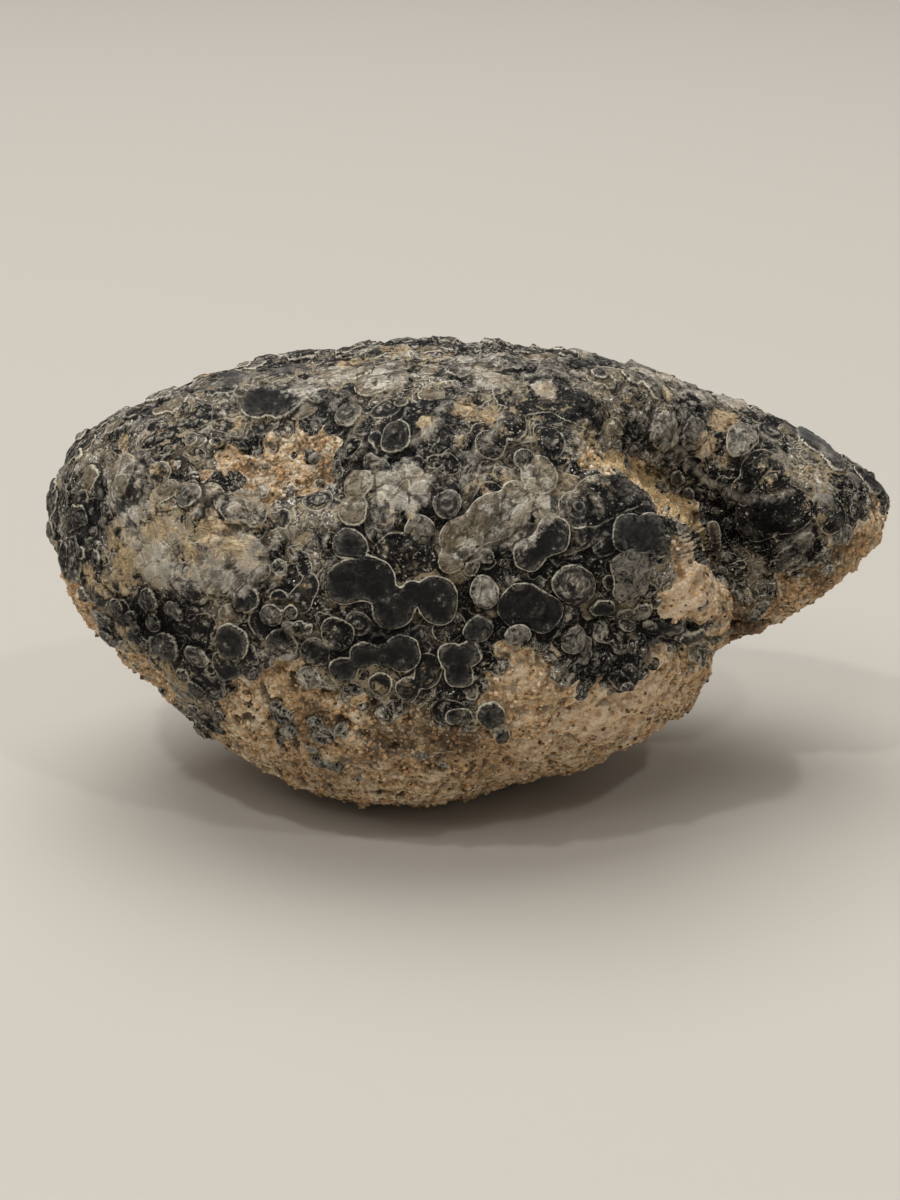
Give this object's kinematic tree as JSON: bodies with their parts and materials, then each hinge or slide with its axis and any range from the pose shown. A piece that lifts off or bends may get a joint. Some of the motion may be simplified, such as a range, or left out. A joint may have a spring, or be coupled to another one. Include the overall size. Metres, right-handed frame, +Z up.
{
  "type": "geode",
  "caption": "Whole geode nodule: a full-bellied stone with a thinner wing, skinned with merged dark chalcedony discs over a tan sandy matrix, resting on a small flat spot.",
  "frame": {"origin": "on the surface the stone rests on, under the middle of its outline seen from above", "axes": "+X runs along the stone towards the tip of its wing, +Y points away from its best side, +Z is up"},
  "size_m": [0.1082, 0.0582, 0.0582],
  "materials": {
    "stone": "satin dark chalcedony crust with cream rims over matt tan sandy matrix"
  },
  "bodies": {
    "root": {"geode": "stone"}
  },
  "joints": []
}
